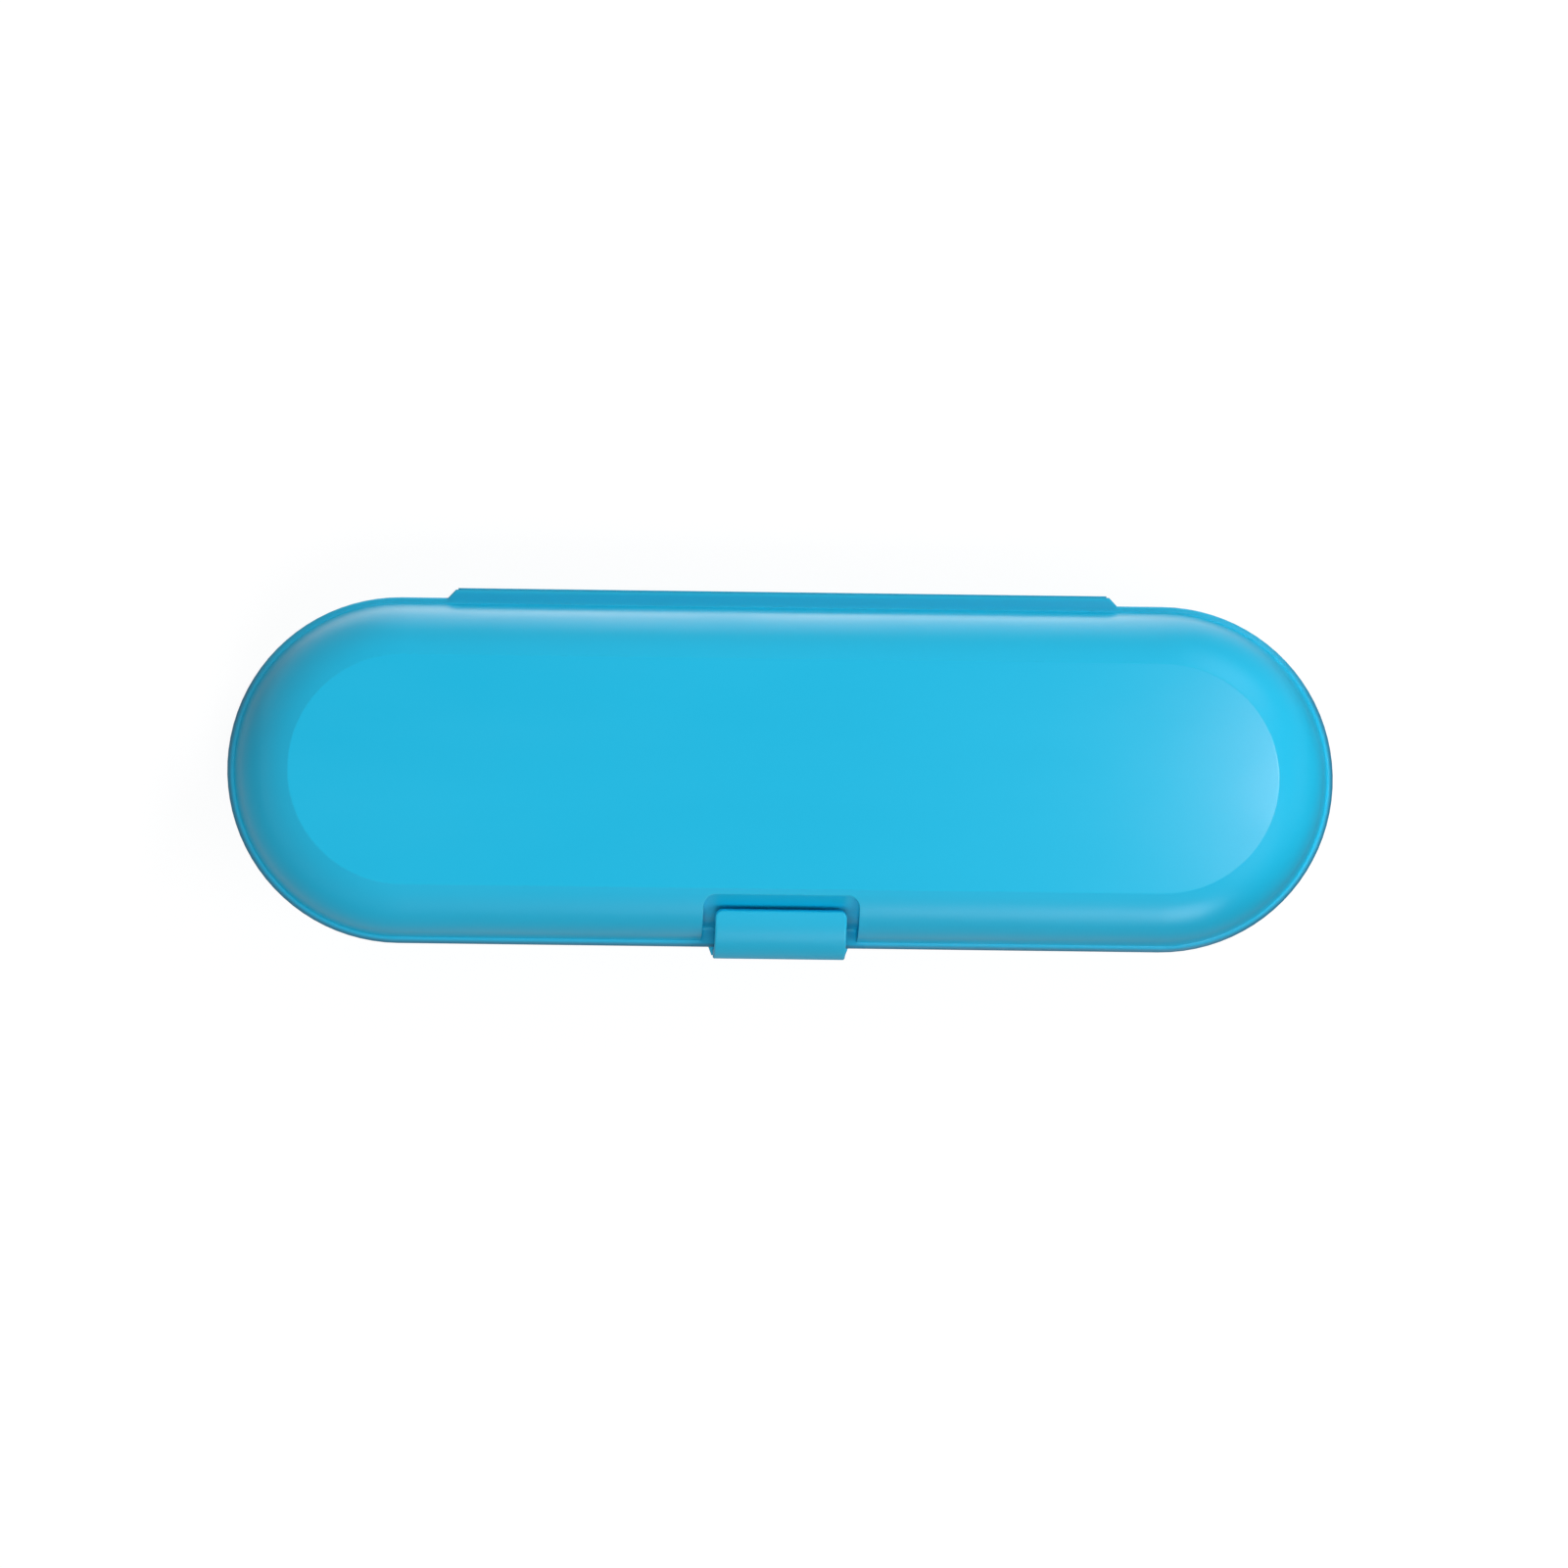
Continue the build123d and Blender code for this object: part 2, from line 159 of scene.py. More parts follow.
class PlasticSettings(bpy.types.PropertyGroup):
    """Colour and finish of the moulded polypropylene."""

    colour: bpy.props.FloatVectorProperty(
        name="Colour", description="Colour of the plastic where it is thickest",
        subtype="COLOR", size=3, min=0.0, max=1.0, default=(0.003, 0.47, 0.74),
    )
    flow_colour: bpy.props.FloatVectorProperty(
        name="Flow colour", description="Slightly paler colour of the streaks left by the melt's flow",
        subtype="COLOR", size=3, min=0.0, max=1.0, default=(0.006, 0.49, 0.765),
    )
    # Painted light: a brighter, saturated blue laid into creases and gaps, in place of the light that comes
    # through the plastic and bounces between its walls
    crease_light_colour: bpy.props.FloatVectorProperty(
        name="Deep colour",
        description="Saturated colour in creases and gaps, where light comes through the plastic",
        subtype="COLOR", size=3, min=0.0, max=1.0, default=(0.0, 0.7, 1.0),
    )
    fold_colour: bpy.props.FloatVectorProperty(
        name="Fold colour", description="Pale colour of the plastic where a hinge film folds",
        subtype="COLOR", size=3, min=0.0, max=1.0, default=(0.16, 0.62, 0.83),
    )
    # Painted shade: a darker colour laid along the rim's outer edge, faded out towards the back
    rim_shade_colour: bpy.props.FloatVectorProperty(
        name="Rim colour", description="Colour of the darker line along the rim's outer edge",
        subtype="COLOR", size=3, min=0.0, max=1.0, default=(0.02, 0.21, 0.34),
    )
    roughness: bpy.props.FloatProperty(
        name="Roughness", description="Roughness of the satin surface",
        subtype="FACTOR", min=0.0, max=1.0, default=0.36,
    )
    # Reach of the painted crease light: how near another wall stands where it shows
    crease_reach: bpy.props.FloatProperty(
        name="Crease reach",
        description="How near another wall stands where the plastic looks deeper in colour",
        subtype="DISTANCE", unit="LENGTH", min=0.0, max=0.02, default=0.004,
    )
    edge_softness: bpy.props.FloatProperty(
        name="Edge softness", description="Radius that the light sees on edges the mould leaves sharp",
        subtype="DISTANCE", unit="LENGTH", min=0.0, max=0.002, default=0.0003,
    )
    rim_softness: bpy.props.FloatProperty(
        name="Rim softness", description="Radius that the light sees on the rim where the two shells meet",
        subtype="DISTANCE", unit="LENGTH", min=0.0, max=0.003, default=0.0011,
    )
    rim_height: bpy.props.FloatProperty(
        name="Rim height", description="Height of the plane in which the two shells meet",
        subtype="DISTANCE", unit="LENGTH", min=0.0, max=0.1, default=RIM_HEIGHT,
    )
    rim_reach: bpy.props.FloatProperty(
        name="Rim reach", description="How far the rim's softness reaches above and below that plane",
        subtype="DISTANCE", unit="LENGTH", min=0.0, max=0.01, default=0.0024,
    )
    rim_radius: bpy.props.FloatProperty(
        name="Rim radius", description="Radius of the rim's outer edge round each end",
        subtype="DISTANCE", unit="LENGTH", min=0.0, max=0.1, default=RIM_RADIUS,
    )
    rim_middle: bpy.props.FloatProperty(
        name="Rim middle", description="How far from the middle of the case each end's round begins",
        subtype="DISTANCE", unit="LENGTH", min=0.0, max=0.2, default=RIM_MIDDLE,
    )
    # Width of the painted shade line along the rim's outer edge
    line_width: bpy.props.FloatProperty(
        name="Line width", description="Width of the darker line along the rim's outer edge",
        subtype="DISTANCE", unit="LENGTH", min=0.0, max=0.005, default=0.0006,
    )


class FilmSettings(bpy.types.PropertyGroup):
    """Sizes of the two living hinges."""

    thickness: bpy.props.FloatProperty(
        name="Film thickness", description="Thickness of the film that bends",
        subtype="DISTANCE", unit="LENGTH", min=0.0001, max=0.001, default=0.00035,
    )
    bend_steps: bpy.props.IntProperty(
        name="Bend steps", description="Faces round the half turn of a folded film",
        min=6, max=64, default=24,
    )


class MarkSettings(bpy.types.PropertyGroup):
    """Marks of moulding and of use."""

    pin_spacing: bpy.props.FloatProperty(
        name="Pin spacing", description="Distance along the case between ejector-pin rings",
        subtype="DISTANCE", unit="LENGTH", min=0.005, max=0.2, default=0.03,
    )
    pin_row: bpy.props.FloatProperty(
        name="Pin row", description="How far each row of ejector-pin rings lies from the middle line",
        subtype="DISTANCE", unit="LENGTH", min=0.0, max=0.03, default=0.011,
    )
    pin_diameter: bpy.props.FloatProperty(
        name="Pin diameter", description="Diameter of an ejector-pin ring",
        subtype="DISTANCE", unit="LENGTH", min=0.001, max=0.02, default=0.005,
    )
    pin_depth: bpy.props.FloatProperty(
        name="Pin depth", description="Depth of an ejector-pin ring",
        subtype="DISTANCE", unit="LENGTH", min=0.0, max=0.001, default=0.00012,
    )
    floor_height: bpy.props.FloatProperty(
        name="Floor height", description="Height of the inner floor of the base",
        subtype="DISTANCE", unit="LENGTH", min=0.0, max=0.1, default=WALL,
    )
    ceiling_height: bpy.props.FloatProperty(
        name="Ceiling height", description="Height of the inner ceiling of the shut lid",
        subtype="DISTANCE", unit="LENGTH", min=0.0, max=0.1, default=LID_HIGH.z - WALL,
    )
    drag_depth: bpy.props.FloatProperty(
        name="Drag depth", description="Depth of the upright marks that the mould drags along the inserts",
        subtype="DISTANCE", unit="LENGTH", min=0.0, max=0.001, default=0.00002,
    )
    thumb_width: bpy.props.FloatProperty(
        name="Thumb width", description="Width of the patch on the latch that thumbs have polished",
        subtype="DISTANCE", unit="LENGTH", min=0.0, max=0.05, default=0.018,
    )
    thumb_height: bpy.props.FloatProperty(
        name="Thumb height", description="Height of the middle of the polished patch",
        subtype="DISTANCE", unit="LENGTH", min=0.0, max=0.1, default=0.033,
    )
    fold_height: bpy.props.FloatProperty(
        name="Fold height", description="Height of the line on which both living hinges fold",
        subtype="DISTANCE", unit="LENGTH", min=0.0, max=0.1, default=RIM_HEIGHT,
    )
    crazing_depth: bpy.props.FloatProperty(
        name="Crazing depth", description="Depth of the fine creases in a folded film",
        subtype="DISTANCE", unit="LENGTH", min=0.0, max=0.001, default=0.00001,
    )


class StudioSettings(bpy.types.PropertyGroup):
    """Floor, lamps and world round the case."""

    floor_radius: bpy.props.FloatProperty(
        name="Floor radius", description="Radius of the round floor",
        subtype="DISTANCE", unit="LENGTH", min=0.5, max=20.0, default=8.0,
    )
    floor_colour: bpy.props.FloatVectorProperty(
        name="Floor colour", description="Colour of the floor",
        subtype="COLOR", size=3, min=0.0, max=1.0, default=(0.15, 0.15, 0.15),
    )
    floor_lift: bpy.props.FloatProperty(
        name="Floor lift", description="Light added to the floor as the camera sees it, to make it white",
        min=0.0, max=1.0, default=0.9,
    )
    even_lift: bpy.props.FloatProperty(
        name="Even lift",
        description="Light added to the floor as reflections see it, all over but at the right",
        min=0.0, max=2.0, default=0.28,
    )
    back_lift: bpy.props.FloatProperty(
        name="Back lift", description="Light added to the floor behind the case as reflections see it",
        min=0.0, max=4.0, default=2.4,
    )
    world_level: bpy.props.FloatProperty(
        name="World level", description="Level of the even light from all round",
        min=0.0, max=2.0, default=0.3,
    )
    screen_level: bpy.props.FloatProperty(
        name="Screen level", description="Level of the dark screen at the right as reflections see it",
        min=0.0, max=1.0, default=0.1,
    )
    key_level: bpy.props.FloatProperty(
        name="Key level", description="Light of the softbox at the back right on a surface that faces it",
        min=0.0, max=3.0, default=0.58,
    )
    side_level: bpy.props.FloatProperty(
        name="Side level", description="Light of the softbox at the front right on a surface that faces it",
        min=0.0, max=3.0, default=0.27,
    )
    fill_level: bpy.props.FloatProperty(
        name="Fill level", description="Light of the softbox at the front left on a surface that faces it",
        min=0.0, max=3.0, default=0.33,
    )
    left_level: bpy.props.FloatProperty(
        name="Left level", description="Light of the low softbox at the left on a surface that faces it",
        min=0.0, max=3.0, default=0.11,
    )
    right_level: bpy.props.FloatProperty(
        name="Right level", description="Light of the low softbox at the right on a surface that faces it",
        min=0.0, max=3.0, default=0.09,
    )
    glow_level: bpy.props.FloatProperty(
        name="Glow level", description="Light of the small lamp that reflects in the right-hand end",
        min=0.0, max=3.0, default=0.72,
    )
    streak_level: bpy.props.FloatProperty(
        name="Streak level", description="Light of the low lamp that reflects in the front shoulder",
        min=0.0, max=3.0, default=0.24,
    )


class CameraSettings(bpy.types.PropertyGroup):
    """Camera that repeats the photograph's view."""

    distance: bpy.props.FloatProperty(
        name="Distance", description="From the camera to the case",
        subtype="DISTANCE", unit="LENGTH", min=0.5, max=20.0, default=6.0,
    )
    frame_width: bpy.props.FloatProperty(
        name="Frame width", description="Width that the picture takes in at the height of the rim",
        subtype="DISTANCE", unit="LENGTH", min=0.1, max=2.0, default=0.3048,
    )
    lean_front: bpy.props.FloatProperty(
        name="Lean to the front", description="Angle from straight above towards the latch",
        subtype="ANGLE", unit="ROTATION", default=math.radians(0.6),
    )
    lean_left: bpy.props.FloatProperty(
        name="Lean to the left", description="Angle from straight above towards the left-hand end",
        subtype="ANGLE", unit="ROTATION", default=math.radians(2.0),
    )
    roll: bpy.props.FloatProperty(
        name="Roll", description="Turn of the camera about its own view",
        subtype="ANGLE", unit="ROTATION", default=math.radians(0.725),
    )
    aim: bpy.props.FloatVectorProperty(
        name="Aim", description="Point of the case in the middle of the picture",
        subtype="XYZ", unit="LENGTH", size=3, default=(0.00074, -0.00176, RIM_HEIGHT),
    )


class CaseSettings(bpy.types.PropertyGroup):
    """All settings of the travel case."""

    plastic: bpy.props.PointerProperty(type=PlasticSettings)
    film: bpy.props.PointerProperty(type=FilmSettings)
    marks: bpy.props.PointerProperty(type=MarkSettings)
    studio: bpy.props.PointerProperty(type=StudioSettings)
    camera: bpy.props.PointerProperty(type=CameraSettings)


def settings():
    """The settings of the travel case in this scene."""
    return bpy.context.scene.travel_case


def deselect_all():
    """Leave no object selected."""
    bpy.ops.object.select_all(action="DESELECT")


def object_coordinates(tree, stretch):
    """Object coordinates, stretched by a factor for each axis."""
    coordinates = tree.nodes.new("ShaderNodeTexCoord")
    mapping = tree.nodes.new("ShaderNodeMapping")
    mapping.inputs["Scale"].default_value = stretch
    tree.links.new(coordinates.outputs["Object"], mapping.inputs["Vector"])
    return mapping.outputs["Vector"]


def place_parts(tree):
    """The three parts of a point's place on the case, in metres."""
    part = tree.nodes.new("ShaderNodeSeparateXYZ")
    tree.links.new(object_coordinates(tree, UNSTRETCHED), part.inputs["Vector"])
    return part.outputs


def noise(tree, stretch, scale, detail, roughness):
    """Noise on object coordinates, its scale counted per metre before the stretch."""
    texture = tree.nodes.new("ShaderNodeTexNoise")
    texture.inputs["Scale"].default_value = scale
    texture.inputs["Detail"].default_value = detail
    texture.inputs["Roughness"].default_value = roughness
    tree.links.new(object_coordinates(tree, stretch), texture.inputs["Vector"])
    return texture.outputs["Fac"]


def remap(tree, value, low, high, to_low=0.0, to_high=1.0):
    """Map a value from one range to another, held at both ends."""
    node = tree.nodes.new("ShaderNodeMapRange")
    node.inputs["From Min"].default_value = low
    node.inputs["From Max"].default_value = high
    node.inputs["To Min"].default_value = to_low
    node.inputs["To Max"].default_value = to_high
    tree.links.new(value, node.inputs["Value"])
    return node.outputs["Result"]


def arithmetic(tree, operation, first, second=None):
    """One step of arithmetic. Each value is a socket or a number."""
    node = tree.nodes.new("ShaderNodeMath")
    node.operation = operation
    for socket, value in zip(node.inputs, (first, second)):
        if isinstance(value, bpy.types.NodeSocket):
            tree.links.new(value, socket)
        elif value is not None:
            socket.default_value = value
    return node.outputs["Value"]


def squared(tree, value):
    """A value times itself."""
    return arithmetic(tree, "POWER", value, 2.0)


def distance_from(tree, first, second):
    """How far two measures along axes at right angles lead together."""
    return arithmetic(tree, "SQRT", arithmetic(tree, "ADD", squared(tree, first), squared(tree, second)))


def near(tree, value, place, reach):
    """1 where a value is at a place, down to 0 at a reach from it."""
    away = arithmetic(tree, "ABSOLUTE", arithmetic(tree, "SUBTRACT", value, place))
    return remap(tree, away, 0.0, reach, 1.0, 0.0)


def blended_colour(tree, factor, first, second):
    """Mix two colours by a factor socket. Each is three numbers or a socket."""
    node = tree.nodes.new("ShaderNodeMix")
    node.data_type = "RGBA"
    tree.links.new(factor, node.inputs["Factor"])
    for name, colour in (("A", first), ("B", second)):
        socket = next(entry for entry in node.inputs if entry.name == name and entry.type == "RGBA")
        if isinstance(colour, bpy.types.NodeSocket):
            tree.links.new(colour, socket)
        else:
            socket.default_value = (*colour, 1.0)
    return next(result for result in node.outputs if result.type == "RGBA")


def bumped(tree, height, distance, normal):
    """A bump of a height socket over a normal."""
    node = tree.nodes.new("ShaderNodeBump")
    node.inputs["Strength"].default_value = 1.0
    node.inputs["Distance"].default_value = distance
    tree.links.new(height, node.inputs["Height"])
    tree.links.new(normal, node.inputs["Normal"])
    return node.outputs["Normal"]


def on_rim(tree):
    """1 near the plane in which the shells meet, down to 0 at the rim's reach above and below it."""
    plastic = settings().plastic
    above = arithmetic(tree, "SUBTRACT", place_parts(tree)["Z"], plastic.rim_height)
    away = arithmetic(tree, "ABSOLUTE", above)
    return remap(tree, away, plastic.rim_reach * RIM_FULL_SHARE, plastic.rim_reach, 1.0, 0.0)


def rim_shade_line(tree):
    """Mask of the painted shade line: 1 on the outer edge of the rim, 0 from the line's width inside it,
    and 0 beyond it on the straps.
    """
    plastic = settings().plastic
    part = place_parts(tree)
    past_middle = arithmetic(tree, "SUBTRACT", arithmetic(tree, "ABSOLUTE", part["X"]), plastic.rim_middle)
    out = distance_from(tree, arithmetic(tree, "MAXIMUM", past_middle, 0.0), part["Y"])
    inner_edge = plastic.rim_radius - plastic.line_width
    fade = plastic.line_width * LINE_FADE_SHARE
    begins = remap(tree, out, inner_edge - fade, inner_edge + fade)
    ends = remap(tree, out, plastic.rim_radius + LINE_END, plastic.rim_radius + LINE_END * 2, 1.0, 0.0)
    return arithmetic(tree, "MULTIPLY", begins, ends)


def softened_normal(tree, rim):
    """Normal that rounds sharp edges, and the rim more than the rest."""
    plastic = settings().plastic
    node = tree.nodes.new("ShaderNodeBevel")
    node.samples = SHADING_SAMPLES
    radius = remap(tree, rim, 0.0, 1.0, plastic.edge_softness, plastic.rim_softness)
    tree.links.new(radius, node.inputs["Radius"])
    return node.outputs["Normal"]


def edge_wear_and_highlight(tree, soft_normal):
    """How far a point lies on an edge: 0 on a flat, up to 1 on the edge itself."""
    geometry = tree.nodes.new("ShaderNodeNewGeometry")
    product = tree.nodes.new("ShaderNodeVectorMath")
    product.operation = "DOT_PRODUCT"
    tree.links.new(geometry.outputs["Normal"], product.inputs[0])
    tree.links.new(soft_normal, product.inputs[1])
    return remap(tree, product.outputs["Value"], *EDGE_TURN)


def shut_in(tree, reach):
    """How much other walls close a point in: 0 in the open, up to 1 deep in a gap."""
    node = tree.nodes.new("ShaderNodeAmbientOcclusion")
    node.samples = SHADING_SAMPLES
    node.inputs["Distance"].default_value = reach
    return arithmetic(tree, "SUBTRACT", 1.0, node.outputs["AO"])


def new_material(name):
    """An empty node material and its plastic shader."""
    material = bpy.data.materials.new(name)
    material.use_nodes = True
    tree = material.node_tree
    shader = tree.nodes["Principled BSDF"]
    return material, tree, shader


def streaked_colour(tree):
    """The plastic's own colour with the faint streaks of its flow."""
    plastic = settings().plastic
    flow = arithmetic(tree, "ADD", noise(tree, **STREAKS), noise(tree, **CLOUDS))
    return blended_colour(tree, remap(tree, flow, *FLOW_RANGE), plastic.colour, plastic.flow_colour)


def plastic_colour(tree, rim, soft_normal):
    """Streaked colour, paler on edges as wear and a painted highlight, with a painted shade line on the
    rim's outer edge and painted light in creases.
    """
    plastic = settings().plastic
    # Edges pale towards the fold colour: partly wear, partly a painted highlight
    paling = arithmetic(tree, "MULTIPLY", edge_wear_and_highlight(tree, soft_normal), EDGE_PALING)
    colour = blended_colour(tree, paling, streaked_colour(tree), plastic.fold_colour)
    # Painted shade: the rim's outer edge turns to the darker rim shade colour, fading out towards the back
    shade_off_back = remap(tree, place_parts(tree)["Y"], *LINE_BACK_FADE, 1.0, 0.0)
    line = arithmetic(tree, "MULTIPLY", arithmetic(tree, "MULTIPLY", rim, rim_shade_line(tree)), shade_off_back)
    colour = blended_colour(tree, line, colour, plastic.rim_shade_colour)
    # Painted light: creases and gaps turn to the brighter crease light colour, the more shut in they are
    crease_light = remap(tree, shut_in(tree, plastic.crease_reach), *CREASE_RANGE)
    return blended_colour(tree, crease_light, colour, plastic.crease_light_colour)


def plastic_base(name):
    """The satin polypropylene that every piece shares: colour, soft edges, ripples, grain and polish."""
    plastic = settings().plastic
    material, tree, shader = new_material(name)
    rim = on_rim(tree)
    soft_normal = softened_normal(tree, rim)
    tree.links.new(plastic_colour(tree, rim, soft_normal), shader.inputs["Base Color"])
    rippled = bumped(tree, noise(tree, **RIPPLES), RIPPLE_DEPTH, soft_normal)
    grained = bumped(tree, noise(tree, **GRAIN), GRAIN_DEPTH, rippled)
    tree.links.new(grained, shader.inputs["Normal"])
    smoothest, roughest = (plastic.roughness + change for change in POLISH_CHANGE)
    polish = remap(tree, noise(tree, **POLISH), *POLISH_RANGE, smoothest, roughest)
    tree.links.new(polish, shader.inputs["Roughness"])
    shader.inputs["IOR"].default_value = POLYPROPYLENE_IOR
    shader.inputs["Specular IOR Level"].default_value = POLYPROPYLENE_SHEEN
    return material, tree, shader


def tinted(tree, shader, factor, colour):
    """Lay a colour over the shader's own, by a factor."""
    below = shader.inputs["Base Color"].links[0].from_socket
    tree.links.new(blended_colour(tree, factor, below, colour), shader.inputs["Base Color"])


def roughened(tree, shader, change):
    """Add a change, positive or negative, to the shader's roughness."""
    below = shader.inputs["Roughness"].links[0].from_socket
    tree.links.new(arithmetic(tree, "ADD", below, change), shader.inputs["Roughness"])


def raised(tree, shader, height, distance):
    """Lay a bump of a height socket over the shader's own."""
    below = shader.inputs["Normal"].links[0].from_socket
    tree.links.new(bumped(tree, height, distance, below), shader.inputs["Normal"])


def pin_marks(tree):
    """Rings that ejector pins leave on the floor of the base and the ceiling of the lid, in two rows."""
    marks = settings().marks
    part = place_parts(tree)
    half_step = marks.pin_spacing / 2
    along = arithmetic(tree, "PINGPONG", arithmetic(tree, "ADD", part["X"], half_step), half_step)
    across = arithmetic(tree, "SUBTRACT", arithmetic(tree, "ABSOLUTE", part["Y"]), marks.pin_row)
    from_pin = distance_from(tree, along, across)
    ring = near(tree, from_pin, marks.pin_diameter / 2, marks.pin_diameter * RING_FADE_SHARE)
    height_reach = marks.pin_diameter * RING_HEIGHT_SHARE
    floor = near(tree, part["Z"], marks.floor_height, height_reach)
    ceiling = near(tree, part["Z"], marks.ceiling_height, height_reach)
    return arithmetic(tree, "MULTIPLY", ring, arithmetic(tree, "MAXIMUM", floor, ceiling))


def assign(material, names):
    """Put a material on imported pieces."""
    for name in names:
        frame["nodes"][name].material_slots[0].material = material


def joint_named(name):
    """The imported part's record of a joint."""
    return next(joint for joint in frame["joints"] if joint["name"] == name)


def shade_smooth(piece):
    """Shade a piece smooth, but for its sharp edges."""
    deselect_all()
    piece.select_set(True)
    bpy.context.view_layer.objects.active = piece
    bpy.ops.object.shade_smooth_by_angle(angle=SMOOTH_ANGLE)


def select_edge_across(mesh, place):
    """Select the edge whose two ends lie at a place along Y. The mesh is in object mode."""
    for element in (*mesh.polygons, *mesh.edges, *mesh.vertices):
        element.select = False
    for edge in mesh.edges:
        ends = [mesh.vertices[index] for index in edge.vertices]
        if all(abs(end.co.y - place) < SAME_PLACE for end in ends):
            edge.select = True
            for end in ends:
                end.select = True


def folded_film(name, node, joint, side):
    """Model a living hinge: a leg on the base, half a turn round its axis, and a leg on what opens."""
    low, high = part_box(node)
    axis = Vector(joint_named(joint)["pos_m"])
    film_settings = settings().film
    bend_radius = (high.z - low.z - film_settings.thickness) / 2
    root = low.y if side == BACK else high.y
    leg = abs(axis.y - root)
    middle = ((low.x + high.x) / 2, (root + axis.y) / 2, axis.z - bend_radius)
    bpy.ops.mesh.primitive_plane_add(size=1.0, location=middle)
    film = bpy.context.active_object
    film.name = name
    film.scale = (high.x - low.x, leg, 1.0)
    bpy.ops.object.transform_apply(location=True, rotation=True, scale=True)
    select_edge_across(film.data, axis.y)
    bpy.ops.object.mode_set(mode="EDIT")
    bpy.ops.mesh.select_mode(type="EDGE")
    bpy.ops.mesh.spin(
        steps=film_settings.bend_steps, angle=HALF_TURN * side,
        center=axis, axis=(1.0, 0.0, 0.0), dupli=False,
    )
    bpy.ops.mesh.extrude_region_move(TRANSFORM_OT_translate={"value": (0.0, -leg * side, 0.0)})
    bpy.ops.mesh.select_all(action="SELECT")
    bpy.ops.mesh.remove_doubles(threshold=SAME_PLACE)
    bpy.ops.mesh.normals_make_consistent(inside=False)
    bpy.ops.object.mode_set(mode="OBJECT")
    wall = film.modifiers.new("Film wall", "SOLIDIFY")
    wall.thickness = film_settings.thickness
    wall.offset = 0.0
    bpy.ops.object.modifier_apply(modifier=wall.name)
    shade_smooth(film)
    return film, axis


class TRAVELCASE_OT_shells(bpy.types.Operator):
    """Give the base and the lid their satin polypropylene"""

    bl_idname = "travel_case.shells"
    bl_label = "Shell plastic"

    def execute(self, context):
        material, tree, shader = plastic_base("case_plastic")
        around_rings = arithmetic(tree, "SUBTRACT", 1.0, pin_marks(tree))
        raised(tree, shader, around_rings, settings().marks.pin_depth)
        assign(material, SHELLS)
        return {"FINISHED"}


class TRAVELCASE_OT_inserts(bpy.types.Operator):
    """Give the cradles, pegs, rests and hold-down ribs their plastic"""

    bl_idname = "travel_case.inserts"
    bl_label = "Insert plastic"

    def execute(self, context):
        material, tree, shader = plastic_base("insert_plastic")
        drag = noise(tree, **DRAG_MARKS)
        raised(tree, shader, drag, settings().marks.drag_depth)
        roughened(tree, shader, remap(tree, drag, *DRAG_RANGE, *DRAG_ROUGHENING))
        assign(material, INSERTS)
        return {"FINISHED"}


class TRAVELCASE_OT_latch(bpy.types.Operator):
    """Give the latch flap its plastic"""

    bl_idname = "travel_case.latch"
    bl_label = "Latch plastic"

    def execute(self, context):
        material, tree, shader = plastic_base("latch_plastic")
        marks = settings().marks
        part = place_parts(tree)
        reach = marks.thumb_width / 2
        across = near(tree, part["X"], 0.0, reach)
        upright = near(tree, part["Z"], marks.thumb_height, reach)
        rubbed = arithmetic(tree, "MULTIPLY", across, upright)
        roughened(tree, shader, arithmetic(tree, "MULTIPLY", rubbed, THUMB_ROUGHENING))
        assign(material, ("latch_flap",))
        return {"FINISHED"}


class TRAVELCASE_OT_hinge_films(bpy.types.Operator):
    """Model the two living hinges as films folded half a turn round their joints' axes"""

    bl_idname = "travel_case.hinge_films"
    bl_label = "Living hinges"

    def execute(self, context):
        material, tree, shader = plastic_base("hinge_plastic")
        marks = settings().marks
        fold = near(tree, place_parts(tree)["Z"], marks.fold_height, settings().film.thickness)
        crazing = noise(tree, **CRAZING)
        paling = arithmetic(tree, "MULTIPLY", fold, remap(tree, crazing, *CRAZING_RANGE, *CRAZING_PALING))
        tinted(tree, shader, paling, settings().plastic.fold_colour)
        raised(tree, shader, crazing, marks.crazing_depth)
        for name, node, joint, body, side in HINGES:
            deselect_all()
            film, axis = folded_film(name, node, joint, side)
            film.data.materials.append(material)
            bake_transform(film)
            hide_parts(node)
        return {"FINISHED"}


def seen_by(tree):
    """Two sockets: 1 for rays from the camera, and 1 for those seen in gloss or through glass."""
    path = tree.nodes.new("ShaderNodeLightPath")
    glossy, through_glass = path.outputs["Is Glossy Ray"], path.outputs["Is Transmission Ray"]
    return path.outputs["Is Camera Ray"], arithmetic(tree, "MAXIMUM", glossy, through_glass)


def reflected_lift(tree):
    """Light that reflections see on the floor: most behind the case, and some all over but at the right."""
    studio = settings().studio
    place = place_parts(tree)
    behind = remap(tree, place["Y"], *BACK_FADE, 0.0, studio.back_lift)
    off_ends = remap(tree, arithmetic(tree, "ABSOLUTE", place["X"]), *END_FADE, 1.0, END_SHARE)
    even = remap(tree, place["X"], *END_FADE, studio.even_lift, 0.0)
    return arithmetic(tree, "ADD", arithmetic(tree, "MULTIPLY", behind, off_ends), even)


